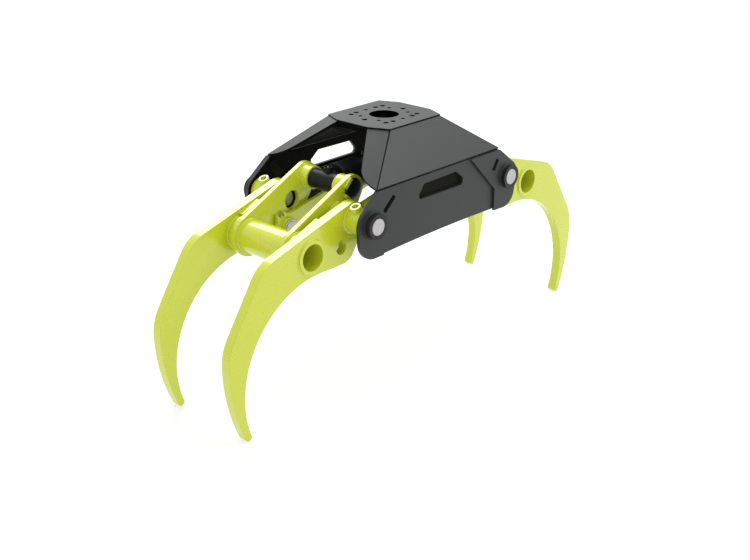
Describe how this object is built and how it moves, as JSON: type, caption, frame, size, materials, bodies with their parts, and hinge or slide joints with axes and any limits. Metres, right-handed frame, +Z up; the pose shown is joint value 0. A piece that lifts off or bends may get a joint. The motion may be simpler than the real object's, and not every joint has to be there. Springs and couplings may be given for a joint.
{
  "type": "log grapple",
  "caption": "Hydraulic log grapple: curved tine jaws swing closed below a folded steel head, spread by a cylinder and tied by synchronising links.",
  "frame": {"origin": "centre of the head plate's top face, on the axis of the rotator bore", "axes": "+X along the head towards the shorter jaw, +Y towards the rear cheek, +Z up out of the head plate"},
  "size_m": [1.544, 0.522, 0.7496],
  "materials": {
    "head_paint": "satin anthracite powder coat",
    "jaw_paint": "gloss yellow-green paint",
    "black_paint": "gloss black paint",
    "pin_steel": "ground and zinc-plated steel",
    "nipple_steel": "zinc-plated steel",
    "bush_bronze": "machined bronze",
    "rod_chrome": "hard chrome, ground",
    "turned_steel": "turned steel",
    "seal_rubber": "moulded seal"
  },
  "bodies": {
    "frame": {"cheek_front": "head_paint", "cheek_rear": "head_paint", "hood_front": "head_paint", "hood_rear": "head_paint", "inner_doubler_front": "head_paint", "inner_doubler_rear": "head_paint", "outer_doubler_front": "head_paint", "outer_doubler_rear": "head_paint", "pivot_bosses": "head_paint", "pivot_pin_front_left": "pin_steel", "pivot_pin_front_right": "pin_steel", "pivot_pin_rear_left": "pin_steel", "pivot_pin_rear_right": "pin_steel", "rib_left": "head_paint", "rib_right": "head_paint", "top_plate": "head_paint"},
    "left_jaw": {"left_arm_front": "jaw_paint", "left_arm_rear": "jaw_paint", "left_bushes": "bush_bronze", "left_collars": "jaw_paint", "left_cross_tube": "jaw_paint", "left_cylinder_pin": "black_paint", "left_gussets": "jaw_paint", "left_nipples": "nipple_steel", "left_pin_bosses": "jaw_paint", "left_pin_keepers": "jaw_paint", "left_sleeve_front": "jaw_paint", "left_sleeve_rear": "jaw_paint", "left_tine_front": "jaw_paint", "left_tine_rear": "jaw_paint", "link_pins": "pin_steel", "link_pin_clips": "pin_steel"},
    "right_jaw": {"right_arm_front": "jaw_paint", "right_arm_rear": "jaw_paint", "right_bushes": "bush_bronze", "right_collars": "jaw_paint", "right_cross_tube": "jaw_paint", "right_cylinder_pin": "black_paint", "right_gussets": "jaw_paint", "right_nipples": "nipple_steel", "right_pin_bosses": "jaw_paint", "right_pin_keepers": "jaw_paint", "right_sleeve_front": "jaw_paint", "right_sleeve_rear": "jaw_paint", "right_tine_front": "jaw_paint", "right_tine_rear": "jaw_paint"},
    "cylinder_rod": {"rod_eye": "black_paint", "rod": "rod_chrome", "piston": "turned_steel", "piston_seals": "seal_rubber", "piston_nut": "turned_steel", "rod_eye_nipple": "nipple_steel"},
    "cylinder_barrel": {"barrel": "black_paint", "gland": "black_paint", "base_eye": "black_paint", "base_eye_nipple": "nipple_steel"},
    "front_link": {"link_front": "jaw_paint", "link_nipple_front": "nipple_steel"},
    "rear_link": {"link_rear": "jaw_paint", "link_nipple_rear": "nipple_steel"}
  },
  "joints": [
    {"name": "left_jaw_swing", "type": "hinge", "parent": "frame", "child": "left_jaw", "pos_m": [-0.308, 0, -0.215], "axis": [0, -1, 0], "range_deg": [0, 70]},
    {"name": "right_jaw_swing", "type": "hinge", "parent": "frame", "child": "right_jaw", "pos_m": [0.308, 0, -0.215], "axis": [0, 1, 0], "range_deg": [0, 70]},
    {"name": "rod_eye_swivel", "type": "hinge", "parent": "left_jaw", "child": "cylinder_rod", "pos_m": [-0.248, 0, -0.153], "axis": [0, 1, 0], "range_deg": [0, 70]},
    {"name": "base_eye_swivel", "type": "hinge", "parent": "right_jaw", "child": "cylinder_barrel", "pos_m": [0.248, 0, -0.153], "axis": [0, -1, 0], "range_deg": [0, 70]},
    {"name": "front_link_swivel", "type": "hinge", "parent": "left_jaw", "child": "front_link", "pos_m": [-0.342, 0, -0.286], "axis": [0, 1, 0], "range_deg": [0, 70]},
    {"name": "rear_link_swivel", "type": "hinge", "parent": "left_jaw", "child": "rear_link", "pos_m": [-0.342, 0, -0.286], "axis": [0, 1, 0], "range_deg": [0, 70]}
  ],
  "couplings": [
    {"joint": "right_jaw_swing", "follows": "left_jaw_swing", "ratio": 1},
    {"joint": "rod_eye_swivel", "follows": "left_jaw_swing", "ratio": 1},
    {"joint": "base_eye_swivel", "follows": "left_jaw_swing", "ratio": 1},
    {"joint": "front_link_swivel", "follows": "left_jaw_swing", "ratio": 1},
    {"joint": "rear_link_swivel", "follows": "left_jaw_swing", "ratio": 1}
  ]
}
